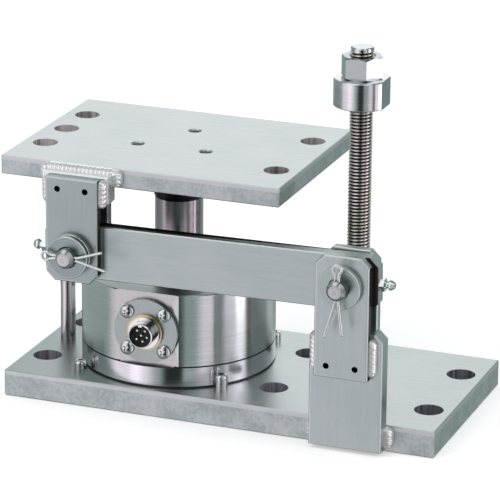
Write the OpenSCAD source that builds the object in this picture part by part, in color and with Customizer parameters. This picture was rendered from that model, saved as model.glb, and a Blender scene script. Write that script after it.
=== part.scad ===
// Load cell in its mounting module: a compression load cell stands between a base plate and a
// top plate, a rocker column carries the load, a tie bar on two clevis pins holds the top plate
// sideways, and a stud with a stop collar limits its lift. Millimetres, +Z up.
// The origin is on the load axis at the base plate's underside. The tie bar is on the -Y side.

/* [Plates] */
// Width of both plates, front to back
plate_w = 110; // [106:1:130]
// Height of the top plate's upper face above the floor
module_h = 130; // [126:1:150]
// Thickness of the base plate
base_t = 14; // [12:0.5:18]
// Thickness of the top plate
top_t = 10; // [9:0.5:14]
// Distance from the outer bolt holes to the plate ends
end_margin = 12; // [10:0.5:20]
// Chamfer on the edges of plates, ears and bar
edge_break = 0.5; // [0.2:0.1:1]

/* [Bolt holes] */
// Bolt holes from the load axis, along the length
bolt_x = 63; // [60:0.5:70]
// Bolt holes from the load axis, across the width
bolt_y = 27; // [22:0.5:36]
// End bolt holes of the base plate from the load axis
end_bolt_x = 146; // [142:0.5:160]
// Diameter of the base plate's bolt holes
base_bolt_d = 15; // [9:0.5:16]
// Diameter of the top plate's bolt holes
top_bolt_d = 13; // [9:0.5:15]

/* [Load cell] */
// Outer diameter of the load cell
cell_d = 101; // [99:0.5:104]
// Height of the load cell
cell_h = 50; // [48:0.5:54]
// Height of the load cell's base ring, up to the joint line
cell_base_h = 11; // [10.8:0.1:13]
// Height of the narrow foot under the base ring
cell_foot_h = 1; // [0.5:0.1:2]
// Step-in of that foot
cell_foot_step = 0.8; // [0.3:0.1:1.2]
// Height and depth of the groove at the joint line
cell_groove = 0.8; // [0.4:0.1:1.2]
// Side wall of the housing
cell_wall = 8; // [7.8:0.1:9]
// Thickness of the housing's top wall
cell_top_wall = 6; // [5:0.5:7]
// Depth of the recess in the housing's top face
cell_recess = 2; // [1:0.5:3]
// Width of the housing's raised rim round that recess
cell_rim = 9; // [7:0.5:12]
// Diameter of the opening in the housing's top wall
cell_mouth_d = 40; // [38:0.5:44]
// Thread diameter of the screws that hold the base ring
cell_screw_d = 4; // [3:0.5:4]
// Head diameter of those screws
cell_screw_head_d = 7; // [6.5:0.1:7.4]
// Width across flats of the sockets in those heads
cell_screw_key = 3; // [2.5:0.5:3.5]
// Turn of the load cell about the load axis, in degrees
cell_turn = 2; // [-10:0.5:10]

/* [Sensing element] */
// Diameter of the loaded hub
hub_d = 30; // [29:0.5:34]
// Outer diameter of the foot ring
element_ring_d = 78; // [76:0.5:78.5]
// Width of the foot ring
element_ring_w = 6; // [5:0.5:8]
// Height of the foot ring
element_ring_h = 10; // [9:0.5:12]
// Thickness of the web that bends under load
element_web_t = 6; // [4:0.5:7]
// Side of the square strain gauges
gauge_side = 6; // [4:0.5:8]
// Thickness of the strain gauges with their glue
gauge_t = 0.4; // [0.2:0.1:0.6]
// Thickness of the circuit board
board_t = 1.6; // [1:0.1:2]
// Depth of the pocket for the circuit board
board_pocket = 7; // [6:0.5:8]
// Height of the circuit board's standoffs
board_standoff = 2.5; // [2:0.1:3]
// Thickness of the folded cover membrane
membrane_t = 0.5; // [0.3:0.1:0.8]

/* [Connector] */
// Width of the milled flat for the connector
flat_w = 34; // [34:0.5:38]
// Height of the connector's centre above the load cell's foot
conn_h = 29.7; // [29:0.1:31]
// Diameter of the connector's flange
flange_d = 34; // [33:0.5:34]
// Thickness of that flange
flange_t = 2; // [1.5:0.1:3]
// Thickness of the flange gasket
gasket_t = 0.4; // [0.2:0.1:0.8]
// Pitch circle of the flange screws
flange_pcd = 27.8; // [26.5:0.1:28]
// Head diameter of the flange screws
flange_head_d = 7.2; // [6:0.1:7.6]
// Thread diameter of the flange screws
flange_screw_d = 3.5; // [2.5:0.5:4]
// Outer diameter of the connector's shell
shell_d = 12.8; // [12:0.1:14]
// Reach of the shell in front of the flange
shell_reach = 8; // [7:0.5:10]
// Wall of the shell
shell_wall = 0.5; // [0.4:0.1:0.8]
// Depth of the insert's face below the shell's rim
insert_sink = 5; // [3:0.5:5.5]
// Depth of the contact pins' tips below the shell's rim
contact_sink = 1.5; // [1:0.1:2.5]
// Width of the key rib inside the shell
key_w = 1.8; // [1:0.1:2.2]
// Diameter of the connector's lock ring
lock_ring_d = 18.8; // [18:0.1:19]
// Thickness of that lock ring
lock_ring_t = 1.5; // [1:0.1:2]
// Diameter of the shell's shoulder in front of the lock ring
shoulder_d = 16.6; // [16:0.1:17.5]
// Diameter of the contact pins
contact_d = 1; // [0.8:0.1:1.2]
// Circle of the outer contact pins
contact_pcd = 6.4; // [6:0.1:7]

/* [Rocker column and pad] */
// Diameter of the rocker column
column_d = 25; // [22:0.5:26]
// Radius of the column's domed ends
column_dome_r = 60; // [50:1:80]
// Radius of the hollow seats that the domes roll in
seat_r = 70; // [65:1:90]
// Diameter of the top pad's boss
pad_boss_d = 26; // [26:0.5:30]
// Diameter of the top pad's flange
pad_flange_d = 58; // [57:0.5:62]
// Thickness of the top pad's flange
pad_flange_t = 8; // [8:0.5:10]
// Height of the whole top pad
pad_h = 17.4; // [15:0.1:19]
// Circle of the three pad screws
pad_pcd = 43; // [42.5:0.5:45]
// Thread diameter of the pad screws
pad_screw_d = 6; // [5:0.5:6]
// Head diameter of the pad screws
pad_head_d = 10; // [9:0.5:10]
// Width across flats of the sockets in the pad screws
pad_key = 5; // [4:0.5:5]

/* [Brackets] */
// Distance between the two clevis pins, along the plates
pin_pitch = 143.5; // [140:0.5:150]
// Top bracket's clevis pin from the load axis, to the left
top_pin_x = 30.5; // [26:0.5:34]
// Drop of the base bracket's clevis pin below the top plate's upper face
base_pin_drop = 41; // [38:0.5:44]
// Drop of the top bracket's clevis pin below the top plate's upper face
top_pin_drop = 43; // [39:0.5:45]
// Width of the ears
ear_w = 28; // [26:0.5:32]
// Thickness of the ears
ear_t = 5; // [4:0.5:7]
// Reach of an ear past its clevis pin
ear_nose = 15; // [13:0.5:16.5]
// Chamfer at the nose of an ear
ear_cut = 4.5; // [3:0.5:7]
// Thickness of the post and of the spacer, which is the gap for the bar
spacer_t = 9; // [8.4:0.1:12]
// Width of the post on the base plate
post_w = 38; // [36:0.5:44]
// Shift of the post from the clevis pin's centre
post_shift = 1; // [-2:0.5:3]
// Drop of the post's top below its clevis pin's centre
post_drop = 25; // [23:0.5:34]
// Gap between the post's foot and the floor
post_foot = 2; // [1:0.5:4]
// Chamfer at the post's top corners
post_cut = 4; // [2:0.5:6]
// Drop of the lower ears' foot below their clevis pin's centre
ear_foot_drop = 48.5; // [45:0.5:53]
// Width of the spacer under the top plate's edge
spacer_w = 36; // [36:0.5:42]
// Height of the spacer
spacer_h = 16.5; // [15:0.5:18]
// Drop of the spacer's top below the top plate's upper face
spacer_drop = 2.6; // [2:0.1:4]
// Chamfer at the spacer's lower corners
spacer_cut = 3; // [1:0.5:4]
// Drop of the front ear's top below the top plate's upper face
top_ear_drop = 3.6; // [3:0.1:5]
// Diameter of the small setting holes in the front ears
ear_hole_d = 3.2; // [2:0.1:4]
// Distance between the two setting holes
ear_hole_pitch = 15; // [12:0.5:17]
// Setting holes from the end of the ear
ear_hole_in = 6; // [5:0.5:8]

/* [Tie bar and clevis pins] */
// Height of the tie bar
bar_h = 28; // [26:0.5:30]
// Thickness of the tie bar
bar_t = 8; // [7:0.1:8.2]
// Reach of the bar past a clevis pin
bar_nose = 16.8; // [15:0.1:20]
// Chamfer at the bar's corners
bar_cut = 4.6; // [3:0.1:7]
// Diameter of the clevis pins
pin_d = 10; // [8:0.5:11]
// Outer diameter of the bar's bushes
bush_d = 14; // [13:0.5:16]
// Running gap all round a clevis pin and in the stop collar's thread
run_gap = 0.05; // [0.02:0.01:0.09]
// Gap all round a fixed pin or screw in its hole
seat_gap = 0.02; // [0.01:0.01:0.05]
// Head diameter of the clevis pins
pin_head_d = 15; // [13:0.5:18]
// Head thickness of the clevis pins
pin_head_t = 3; // [2:0.5:5]
// Reach of a clevis pin past its washers
pin_tail = 7.5; // [7.5:0.5:9]
// Chamfer at the end of a clevis pin
pin_chamfer = 1.6; // [0.8:0.1:2]
// Outer diameter of the washers
washer_d = 22; // [20:0.5:24]
// Bore of the washers
washer_bore_d = 11.4; // [11.2:0.1:12.5]
// Direction in which the loose washers lean on the clevis pins, in degrees
washer_lean = 225; // [180:5:300]
// Thickness of one washer
washer_t = 1.5; // [1:0.1:2]
// Gap in front of the top bracket's rear washer
top_washer_gap = 1.8; // [0.1:0.1:2.2]
// Diameter of the split pins, both legs together
split_d = 3.2; // [2.6:0.1:3.3]
// Distance of a split pin from the end of its clevis pin
split_in = 3.3; // [3:0.1:3.8]
// Outer diameter of a split pin's eye
split_eye_d = 5.9; // [5.5:0.1:6.6]
// Reach of a split pin's longer leg below the clevis pin's centre
split_leg = 24.5; // [20:0.5:28]
// Spread of that leg to its side
split_spread = 6.1; // [3:0.1:8]
// Width across flats of the grease nipples' hexagon
nipple_af = 6.4; // [5:0.1:7]
// Diameter of the grease nipples' ball head
nipple_head_d = 5.4; // [4.5:0.1:6]
// Reach of the grease nipples past the bar's ends
nipple_reach = 7.7; // [7:0.1:9]
// Diameter of the grease channel from nipple to bush
grease_d = 2; // [1.5:0.1:3]

/* [Lift stop] */
// Thread diameter of the stud
stud_d = 12; // [10:0.5:12]
// Distance of the stud from the load axis
stud_x = 98; // [97:0.5:105]
// Height of the stud's top above the floor
stud_top = 191; // [180:1:220]
// Reach of the stud above the lock nut
stud_reach = 4.6; // [2:0.1:8]
// Height of the lock nut
nut_h = 11.2; // [8:0.1:12]
// Width across flats of the lock nut
nut_af = 19; // [18:0.5:20]
// Height of the stop collar
collar_h = 14.4; // [10:0.1:18]
// Diameter of the stop collar
collar_d = 29; // [27:0.5:32]
// Width across the collar's two flats
collar_af = 25.5; // [24:0.5:26.5]

/* [Rod and locating pins] */
// Diameter of the support rod
rod_d = 8; // [6:0.5:10]
// Gap between the support rod's top and the top plate
rod_gap = 3; // [2:0.5:6]
// Height and length of the flats on the support rod
rod_flat_z = 32; // [26:0.5:40]
// Length of those flats
rod_flat_h = 12.5; // [8:0.5:16]
// Depth of those flats
rod_flat_cut = 0.8; // [0.4:0.1:1.2]
// Diameter of the four locating pins
locator_d = 6.4; // [5:0.1:7]
// Height of the three short locating pins above the base plate
locator_h = 5; // [5:0.1:9]
// Height of the tall locating pin at the front right
tall_locator_h = 8.2; // [5:0.1:9]
// Gap between a locating pin and the load cell
locator_gap = 1.5; // [0.3:0.1:2.5]

/* [Welds] */
// Leg of the weld beads at the brackets
weld_leg = 3.4; // [2:0.1:4]
// Distance between two ripples of a weld bead
weld_ripple = 2.4; // [1.5:0.1:4]

/* [Hidden] */
$fn = 72;

over = 1;                                  // overrun of a cut past the face that it opens
steel = [0.70, 0.73, 0.72];
bright_steel = [0.80, 0.81, 0.81];
polished_steel = [0.62, 0.60, 0.60];
black_plastic = [0.06, 0.06, 0.06];

left_end = -(bolt_x + end_margin);
base_end = end_bolt_x + end_margin;
top_end = bolt_x + end_margin;
plate_front = -plate_w / 2;
top_under = module_h - top_t;

base_pin_x = pin_pitch - top_pin_x;
base_pin_z = module_h - base_pin_drop;
top_pin_z = module_h - top_pin_drop;
bar_pitch = norm([pin_pitch, base_pin_z - top_pin_z]);
bar_tilt = atan2(base_pin_z - top_pin_z, pin_pitch);
post_top = base_pin_z - post_drop;
base_ear_z = base_pin_z - ear_foot_drop;
spacer_front = plate_front - spacer_t;
washer_face = spacer_front - ear_t;
washer_pitch = washer_t + seat_gap;
washer_stack = washer_pitch + washer_t;
pin_end = washer_face - washer_stack - pin_tail;
split_y = pin_end + split_in;
split_hole_d = split_d + 2 * seat_gap;
knuckle = 1.04;                            // swelling of the wire at its bends
wire_r = split_d / 4 / knuckle - seat_gap;
washer_play = (washer_bore_d - pin_d) / 2 - run_gap;
top_ear_top = module_h - top_ear_drop;
spacer_top = module_h - spacer_drop;
bar_y = plate_front - (spacer_t - bar_t) / 2;

cell_z = base_t;
cell_r = cell_d / 2;
cell_top = cell_z + cell_h;
joint_z = cell_z + cell_base_h;
bore_r = cell_r - cell_wall;
spigot_h = 4;
spigot_wall = 3;
spigot_r = bore_r - 0.2;
seal_r = 1;
screw_circle = bore_r + cell_wall / 2 - 1;
cell_screw_head_h = 4;
cell_screw_sink = 1;                       // depth of the screw heads in the base ring's foot
cell_screw_grip = 6;                       // thread length in the housing
flat_y = -sqrt(cell_r * cell_r - flat_w * flat_w / 4);
element_r = element_ring_d / 2;
element_web_z = joint_z + element_ring_h - element_web_t;
ceiling_z = cell_top - cell_top_wall;
membrane_z = ceiling_z + 1;
board_z = joint_z - board_pocket + board_standoff;
conn_z = cell_z + conn_h;
flange_y = flat_y - gasket_t;
flange_face = flange_y - flange_t;
neck_d = shell_d - 0.6;
conn_tail = 9;

seat_play = 0.05;                          // gap at the column's contact points
hub_dish = seat_r - sqrt(seat_r * seat_r - column_d * column_d / 4);
dome_h = column_dome_r - sqrt(column_dome_r * column_dome_r - column_d * column_d / 4);
seat_sink = 1.5;                           // depth of the hub's dished seat at its middle
column_foot = cell_top - seat_sink + seat_play;
pad_z = top_under - pad_h;
column_head = pad_z + hub_dish - seat_play;
pad_head_sink = 6;                         // depth of the counterbores for the pad screws
pad_head_gap = 0.4;                        // sinking of the screw heads below the flange
pad_screw_short = 3;                       // depth of the screws' ends below the plate's face

stud_foot = 1;
nut_top = stud_top - stud_reach;
collar_top = nut_top - nut_h;
collar_z = collar_top - collar_h;

// Outline of a rectangle with chamfered corners: top corners by ct, bottom corners by cb
function cut_corner(x, z, c, sx, sz) =
    c > 0.01 ? (sx * sz > 0 ? [[x, z - sz * c], [x - sx * c, z]] : [[x - sx * c, z], [x, z - sz * c]])
             : [[x, z]];
function cut_outline(w, h, ct, cb) = concat(
    cut_corner(w / 2, h / 2, ct, 1, 1), cut_corner(-w / 2, h / 2, ct, -1, 1),
    cut_corner(-w / 2, -h / 2, cb, -1, -1), cut_corner(w / 2, -h / 2, cb, 1, -1));

// Flat plate standing in the XZ plane, back face at y = 0, with broken edges all round
module upright_plate(w, h, t, ct, cb) {
    inset = edge_break;
    slant = inset * (2 - sqrt(2));
    hull() {
        rotate([90, 0, 0])
            translate([0, 0, inset])
                linear_extrude(t - 2 * inset)
                    polygon(cut_outline(w, h, ct, cb));
        rotate([90, 0, 0])
            linear_extrude(t)
                polygon(cut_outline(w - 2 * inset, h - 2 * inset, max(ct - slant, 0), max(cb - slant, 0)));
    }
}

// Lying plate from x0 to x1 with all twelve edges broken
module lying_plate(x0, x1, w, t) {
    mid = (x0 + x1) / 2;
    intersection() {
        translate([mid, 0, 0])
            linear_extrude(t)
                polygon(cut_outline(x1 - x0, w, edge_break, edge_break));
        translate([mid, w / 2, t / 2])
            rotate([90, 0, 0])
                linear_extrude(w)
                    polygon(cut_outline(x1 - x0, t, edge_break, edge_break));
        translate([x0, 0, t / 2])
            rotate([90, 0, 90])
                linear_extrude(x1 - x0)
                    polygon(cut_outline(w, t, edge_break, edge_break));
    }
}

module hole_up(x, y, z, d, h) {
    translate([x, y, z - over])
        cylinder(d = d, h = h + 2 * over);
}

module along_y(x, y, z) {
    translate([x, y, z])
        rotate([90, 0, 0])
            children();
}

// Rippled quarter-round bead in the corner between the faces y = 0 and z = 0, along +X.
// It fills the side y < 0, z > 0.
module weld_bead(len, leg_y, leg_z) {
    leg = max(leg_y, leg_z);
    n = max(2, round(len / weld_ripple));
    step = len / n;
    crest = [for (i = [0 : n - 1]) each [[leg * 0.88, i * step], [leg, (i + 0.65) * step]]];
    intersection() {
        rotate([0, 90, 0])
            rotate_extrude()
                polygon(concat([[0, 0]], crest, [[leg * 0.88, len], [0, len]]));
        translate([0, -leg_y, 0])
            cube([len, leg_y, leg_z]);
    }
}

// The same bead along +Z, against the face y = 0 and the face x = 0 of a plate that lies
// on the side named by side: 1 puts the bead at x > 0, -1 at x < 0.
module weld_bead_up(len, leg, side) {
    mirror([side > 0 ? 0 : 1, 0, 0])
        rotate([0, -90, 0])
            mirror([0, 0, 1])
                weld_bead(len, leg, leg);
}

module turned_cell() {
    rotate([0, 0, cell_turn])
        children();
}

module ring(r_out, r_in, h) {
    difference() {
        cylinder(r = r_out, h = h);
        translate([0, 0, -over])
            cylinder(r = r_in, h = h + 2 * over);
    }
}

// Angles of the locating pins and of the screws in the cell's base ring and pad
locator_angles = [45, 135, 225, 315];
cell_screw_angles = [0 : 60 : 300];
pad_angles = [90, 210, 330];
contact_angles = [130, 50, -15, -76, -138];
locator_circle = cell_r + locator_gap + locator_d / 2;
locator_depth = 8;
tall_locator = 315;                        // angle of the tall locating pin
rod_depth = 10;

module base_plate() {
    color(steel)
        difference() {
            lying_plate(left_end, base_end, plate_w, base_t);
            for (x = [-bolt_x, bolt_x, end_bolt_x], y = [-bolt_y, bolt_y])
                hole_up(x, y, 0, base_bolt_d, base_t);
            hole_up(stud_x, 0, 0, stud_d + 2 * seat_gap, base_t);
            hole_up(-bolt_x, 0, base_t - rod_depth + over, rod_d + 2 * seat_gap, rod_depth);
            for (a = locator_angles)
                rotate([0, 0, a])
                    hole_up(locator_circle, 0, base_t - locator_depth + over, locator_d + 2 * seat_gap,
                        locator_depth);
        }
}

post_mid_x = base_pin_x + post_shift;
post_h = post_top - post_foot;

module base_post() {
    color(steel)
        translate([post_mid_x, plate_front, post_foot + post_h / 2])
            upright_plate(post_w, post_h, spacer_t, post_cut, 0);
}

module ear(foot_z, head_z, ct, cb, y_back) {
    translate([0, y_back, (foot_z + head_z) / 2])
        upright_plate(ear_w, head_z - foot_z, ear_t, ct, cb);
}

module pin_hole(z) {
    along_y(0, over + ear_t, z)
        translate([0, 0, -plate_w])
            cylinder(d = pin_d + 2 * run_gap, h = 3 * plate_w);
}

module setting_holes(z) {
    for (s = [-1, 1])
        along_y(s * ear_hole_pitch / 2, spacer_front + over, z)
            cylinder(d = ear_hole_d, h = ear_t + 2 * over);
}

module base_front_ear() {
    color(steel)
        translate([base_pin_x, 0, 0])
            difference() {
                ear(base_ear_z, base_pin_z + ear_nose, ear_cut, 0, spacer_front);
                pin_hole(base_pin_z);
                setting_holes(base_ear_z + ear_hole_in);
            }
}

module base_rear_ear() {
    color(steel)
        translate([base_pin_x, 0, 0])
            difference() {
                ear(base_ear_z, base_pin_z + ear_nose, ear_cut, 0, plate_front + ear_t);
                pin_hole(base_pin_z);
            }
}

ear_bead_gap = 1;                          // bare length left at each end of a bead
bead_h = post_top - base_ear_z - 2 * ear_bead_gap;

module base_weld_beads() {
    color(bright_steel)
        union() {
            for (s = [-1, 1]) {
                translate([base_pin_x + s * ear_w / 2, spacer_front, base_ear_z + ear_bead_gap])
                    weld_bead_up(bead_h, weld_leg, s);
                translate([base_pin_x + s * ear_w / 2, plate_front, base_ear_z + ear_bead_gap])
                    mirror([0, 1, 0])
                        weld_bead_up(bead_h, weld_leg, s);
                translate([post_mid_x + s * post_w / 2, plate_front, post_foot])
                    weld_bead_up(base_t - post_foot - edge_break, weld_leg * 1.2, s);
            }
            translate([post_mid_x - post_w / 2 + ear_bead_gap, plate_front, base_t])
                mirror([0, 1, 0])
                    weld_bead(post_w - 2 * ear_bead_gap, weld_leg, weld_leg);
        }
}

rod_top = top_under - rod_gap;

module support_rod() {
    color(polished_steel)
        translate([-bolt_x, 0, 0])
            difference() {
                translate([0, 0, base_t - rod_depth])
                    cylinder(d = rod_d, h = rod_top - base_t + rod_depth);
                for (s = [-1, 1])
                    translate([s * (rod_d - rod_flat_cut) - rod_d / 2, -rod_d / 2, rod_flat_z])
                        cube([rod_d, rod_d, rod_flat_h]);
            }
}

module locating_pins() {
    r = locator_d / 2;
    foot = 1 - locator_depth;
    color(bright_steel)
        for (a = locator_angles)
            rotate([0, 0, a])
                translate([locator_circle, 0, base_t]) {
                    h = a == tall_locator ? tall_locator_h : locator_h;
                    rotate_extrude()
                        polygon([[0, foot], [r - 0.4, foot], [r, foot + 0.4], [r, h - 1.4], [r * 0.94, h - 0.8],
                            [r * 0.8, h - 0.3], [r * 0.6, h], [r * 0.45, h], [r * 0.45, h - 3], [0, h - 4]]);
                }
}

module lift_stud() {
    color(polished_steel)
        translate([stud_x, 0, 0])
            rotate_extrude()
                polygon([[0, stud_foot], [stud_d / 2 - 1, stud_foot], [stud_d / 2, stud_foot + 1],
                    [stud_d / 2, stud_top - 1], [stud_d / 2 - 1, stud_top], [0, stud_top]]);
}

module stop_collar() {
    color(bright_steel)
        translate([stud_x, 0, collar_z])
            difference() {
                intersection() {
                    rotate_extrude()
                        polygon([[0, 0], [collar_d / 2 - 0.5, 0], [collar_d / 2, 0.5],
                            [collar_d / 2, collar_h - 0.5], [collar_d / 2 - 0.5, collar_h], [0, collar_h]]);
                    translate([-collar_af / 2, -collar_d, -over])
                        cube([collar_af, 2 * collar_d, collar_h + 2 * over]);
                }
                hole_up(0, 0, 0, stud_d + 2 * run_gap, collar_h);
            }
}

module lock_nut() {
    corner_r = nut_af / sqrt(3);
    rise = (corner_r - nut_af / 2) * tan(30);
    color(bright_steel)
        translate([stud_x, 0, collar_top])
            difference() {
                intersection() {
                    cylinder(r = corner_r, h = nut_h, $fn = 6);
                    rotate_extrude()
                        polygon([[0, 0], [nut_af / 2, 0], [corner_r, rise], [corner_r, nut_h - rise],
                            [nut_af / 2, nut_h], [0, nut_h]]);
                }
                hole_up(0, 0, 0, stud_d + 2 * run_gap, nut_h);
                translate([0, 0, nut_h - 0.8])
                    cylinder(r1 = stud_d / 2, r2 = stud_d / 2 + 0.9, h = 0.9);
            }
}

module cell_base_ring() {
    foot_r = cell_r - cell_foot_step;
    color(bright_steel)
        turned_cell()
            difference() {
                rotate_extrude()
                    polygon([[0, cell_z], [foot_r, cell_z], [foot_r, cell_z + cell_foot_h],
                        [cell_r, cell_z + cell_foot_h], [cell_r, joint_z], [spigot_r, joint_z],
                        [spigot_r, joint_z + 1], [spigot_r - 2 * seal_r + 0.2, joint_z + 1],
                        [spigot_r - 2 * seal_r + 0.2, joint_z + 3], [spigot_r, joint_z + 3],
                        [spigot_r, joint_z + spigot_h], [spigot_r - spigot_wall, joint_z + spigot_h],
                        [spigot_r - spigot_wall, joint_z], [element_r - element_ring_w, joint_z],
                        [element_r - element_ring_w, joint_z - board_pocket], [0, joint_z - board_pocket]]);
                for (a = cell_screw_angles)
                    rotate([0, 0, a]) {
                        hole_up(screw_circle, 0, cell_z, cell_screw_d + 2 * seat_gap, cell_base_h);
                        translate([screw_circle, 0, cell_z - over])
                            cylinder(d = cell_screw_head_d + 2 * seat_gap,
                                h = over + cell_screw_sink + cell_screw_head_h);
                    }
            }
}

module cell_seal_ring() {
    color(black_plastic)
        translate([0, 0, joint_z + 2])
            rotate_extrude()
                translate([bore_r - seal_r, 0])
                    circle(r = seal_r - seat_gap);
}

module connector_bore(d, y_in) {
    along_y(0, y_in, conn_z)
        cylinder(d = d, h = cell_r);
}

module cell_housing() {
    color(steel)
        turned_cell()
            difference() {
                rotate_extrude()
                    polygon([[bore_r, joint_z], [cell_r - cell_groove, joint_z],
                        [cell_r - cell_groove, joint_z + cell_groove], [cell_r, joint_z + cell_groove],
                        [cell_r, cell_top - edge_break], [cell_r - edge_break, cell_top],
                        [cell_r - cell_rim, cell_top], [cell_r - cell_rim, cell_top - cell_recess],
                        [cell_mouth_d / 2, cell_top - cell_recess], [cell_mouth_d / 2, ceiling_z],
                        [bore_r, ceiling_z]]);
                translate([-flat_w, flat_y - cell_r, cell_z])
                    cube([2 * flat_w, cell_r, cell_h + over]);
                connector_bore(shell_d + 2, flat_y + 2 * cell_wall);
                for (a = [45 : 90 : 315])
                    along_y(flange_pcd / 2 * cos(a), flat_y + 5, conn_z + flange_pcd / 2 * sin(a))
                        cylinder(d = flange_screw_d + 2 * seat_gap, h = 5 + over);
                for (a = cell_screw_angles)
                    rotate([0, 0, a])
                        hole_up(screw_circle, 0, joint_z, cell_screw_d + 2 * seat_gap, cell_screw_grip + over);
            }
}

module cell_screws() {
    color(bright_steel)
        turned_cell()
            for (a = cell_screw_angles)
                rotate([0, 0, a])
                    translate([screw_circle, 0, cell_z + cell_screw_sink])
                        difference() {
                            union() {
                                cylinder(d = cell_screw_head_d, h = cell_screw_head_h);
                                cylinder(d = cell_screw_d, h = cell_base_h - cell_screw_sink + cell_screw_grip);
                            }
                            translate([0, 0, -over])
                                cylinder(r = cell_screw_key / sqrt(3), h = over + cell_screw_head_h / 2, $fn = 6);
                        }
}

hub_z = joint_z - 1;

module sensing_element() {
    web_in = hub_d / 2;
    ring_in = element_r - element_ring_w;
    color(bright_steel)
        difference() {
            rotate_extrude()
                polygon([[0, hub_z], [web_in, hub_z], [web_in, element_web_z], [ring_in, element_web_z],
                    [ring_in, joint_z], [element_r, joint_z], [element_r, joint_z + element_ring_h],
                    [web_in, joint_z + element_ring_h], [web_in, cell_top], [0, cell_top]]);
            translate([0, 0, cell_top - seat_sink + seat_r])
                sphere(r = seat_r, $fn = 180);
        }
}

module strain_gauges() {
    gauge_circle = (hub_d / 2 + element_r - element_ring_w) / 2;
    color("goldenrod")
        for (a = [0 : 90 : 270])
            rotate([0, 0, a])
                translate([gauge_circle - gauge_side / 2, -gauge_side / 2, element_web_z - gauge_t])
                    cube([gauge_side, gauge_side, gauge_t]);
}

module circuit_board() {
    board_out = element_r - element_ring_w - 0.5;
    board_in = hub_d / 2 + 1.5;
    stand_circle = (board_out + board_in) / 2;
    chip = 8;                              // side of the flat chips on the board
    color("seagreen")
        union() {
            translate([0, 0, board_z])
                ring(board_out, board_in, board_t);
            for (a = [60 : 120 : 300])
                rotate([0, 0, a])
                    translate([stand_circle, 0, board_z - board_standoff])
                        cylinder(d = 4, h = board_standoff + over / 2);
            for (a = [30, 90, 180, 210])
                rotate([0, 0, a])
                    translate([stand_circle - chip / 2, -chip / 2, board_z + board_t - over / 2])
                        cube([chip, chip, 1 + over / 2]);
        }
}

module cover_membrane() {
    r0 = hub_d / 2 + seat_gap;
    r1 = cell_mouth_d / 2 - seat_gap;
    fold = (r1 - r0) / 4;
    color(bright_steel)
        translate([0, 0, membrane_z])
            rotate_extrude()
                polygon([[r0, 0], [r0 + fold, 0], [r0 + 2 * fold, 1.2], [r1 - fold, 0], [r1, 0],
                    [r1, membrane_t], [r1 - fold, membrane_t], [r0 + 2 * fold, 1.2 + membrane_t],
                    [r0 + fold, membrane_t], [r0, membrane_t]]);
}

// A piece of the connector: local Z runs out of the flat, starting at its face
module on_flat() {
    turned_cell()
        along_y(0, flat_y, conn_z)
            children();
}

module flange_screw_holes(h) {
    for (a = [45 : 90 : 315])
        rotate([0, 0, a])
            translate([flange_pcd / 2, 0, -over])
                cylinder(d = flange_screw_d + 2 * seat_gap, h = h + 2 * over);
}

module connector_gasket() {
    color(black_plastic)
        on_flat()
            difference() {
                ring(flange_d / 2 - 0.4, shell_d / 2 + 1, gasket_t);
                flange_screw_holes(gasket_t);
            }
}

module connector_flange() {
    color(steel)
        on_flat()
            translate([0, 0, gasket_t])
                difference() {
                    ring(flange_d / 2, shell_d / 2 + seat_gap, flange_t);
                    flange_screw_holes(flange_t);
                }
}

module flange_screws() {
    head_h = 2.3;
    color(bright_steel)
        on_flat()
            for (a = [45 : 90 : 315])
                rotate([0, 0, a])
                    translate([flange_pcd / 2, 0, gasket_t + flange_t])
                        difference() {
                            union() {
                                intersection() {
                                    cylinder(d = flange_head_d, h = head_h);
                                    translate([0, 0, head_h - flange_head_d * 0.75])
                                        sphere(r = flange_head_d * 0.75);
                                }
                                translate([0, 0, -flange_t - gasket_t - 4])
                                    cylinder(d = flange_screw_d, h = flange_t + gasket_t + 4.5);
                            }
                            for (b = [0, 90])
                                rotate([0, 0, b])
                                    translate([-1.6, -0.4, head_h - 1.2])
                                        cube([3.2, 0.8, 2]);
                        }
}

shell_base = gasket_t + flange_t;
shell_front = shell_base + shell_reach;
shoulder_z = shell_base + lock_ring_t;
shoulder_t = 1.2;
neck_end = shoulder_z + shoulder_t + 1;
key_h = 1;                                 // height of the key rib inside the shell

module connector_shell() {
    color(bright_steel)
        on_flat()
            union() {
                rotate_extrude()
                    polygon([[shell_d / 2 - shell_wall, -conn_tail], [shell_d / 2, -conn_tail],
                        [shell_d / 2, shoulder_z], [shoulder_d / 2, shoulder_z],
                        [shoulder_d / 2, shoulder_z + shoulder_t], [neck_d / 2, shoulder_z + shoulder_t],
                        [neck_d / 2, neck_end], [shell_d / 2, neck_end],
                        [shell_d / 2, shell_front - 0.3], [shell_d / 2 - 0.25, shell_front],
                        [shell_d / 2 - shell_wall, shell_front]]);
                translate([-key_w / 2, shell_d / 2 - shell_wall - key_h, shell_front - insert_sink])
                    cube([key_w, key_h + shell_wall / 2, insert_sink]);
            }
}

module connector_lock_ring() {
    color([0.72, 0.62, 0.36])
        on_flat()
            translate([0, 0, shell_base])
                ring(lock_ring_d / 2, shell_d / 2 + seat_gap, lock_ring_t);
}

insert_h = shell_front + conn_tail - insert_sink;
contact_tail = 2.5;                        // solder tails of the contacts behind the insert

module contact_places() {
    children();
    for (a = contact_angles)
        rotate([0, 0, a])
            translate([contact_pcd / 2, 0, 0])
                children();
}

module connector_insert() {
    color(black_plastic)
        on_flat()
            translate([0, 0, -conn_tail])
                difference() {
                    cylinder(r = shell_d / 2 - shell_wall - seat_gap, h = insert_h);
                    contact_places()
                        translate([0, 0, -over])
                            cylinder(d = contact_d + 2 * seat_gap, h = insert_h + 2 * over);
                }
}

module contact_pins() {
    color("gold")
        on_flat()
            contact_places()
                translate([0, 0, -conn_tail - contact_tail])
                    cylinder(d = contact_d, h = contact_tail + conn_tail + shell_front - contact_sink);
}

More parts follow.
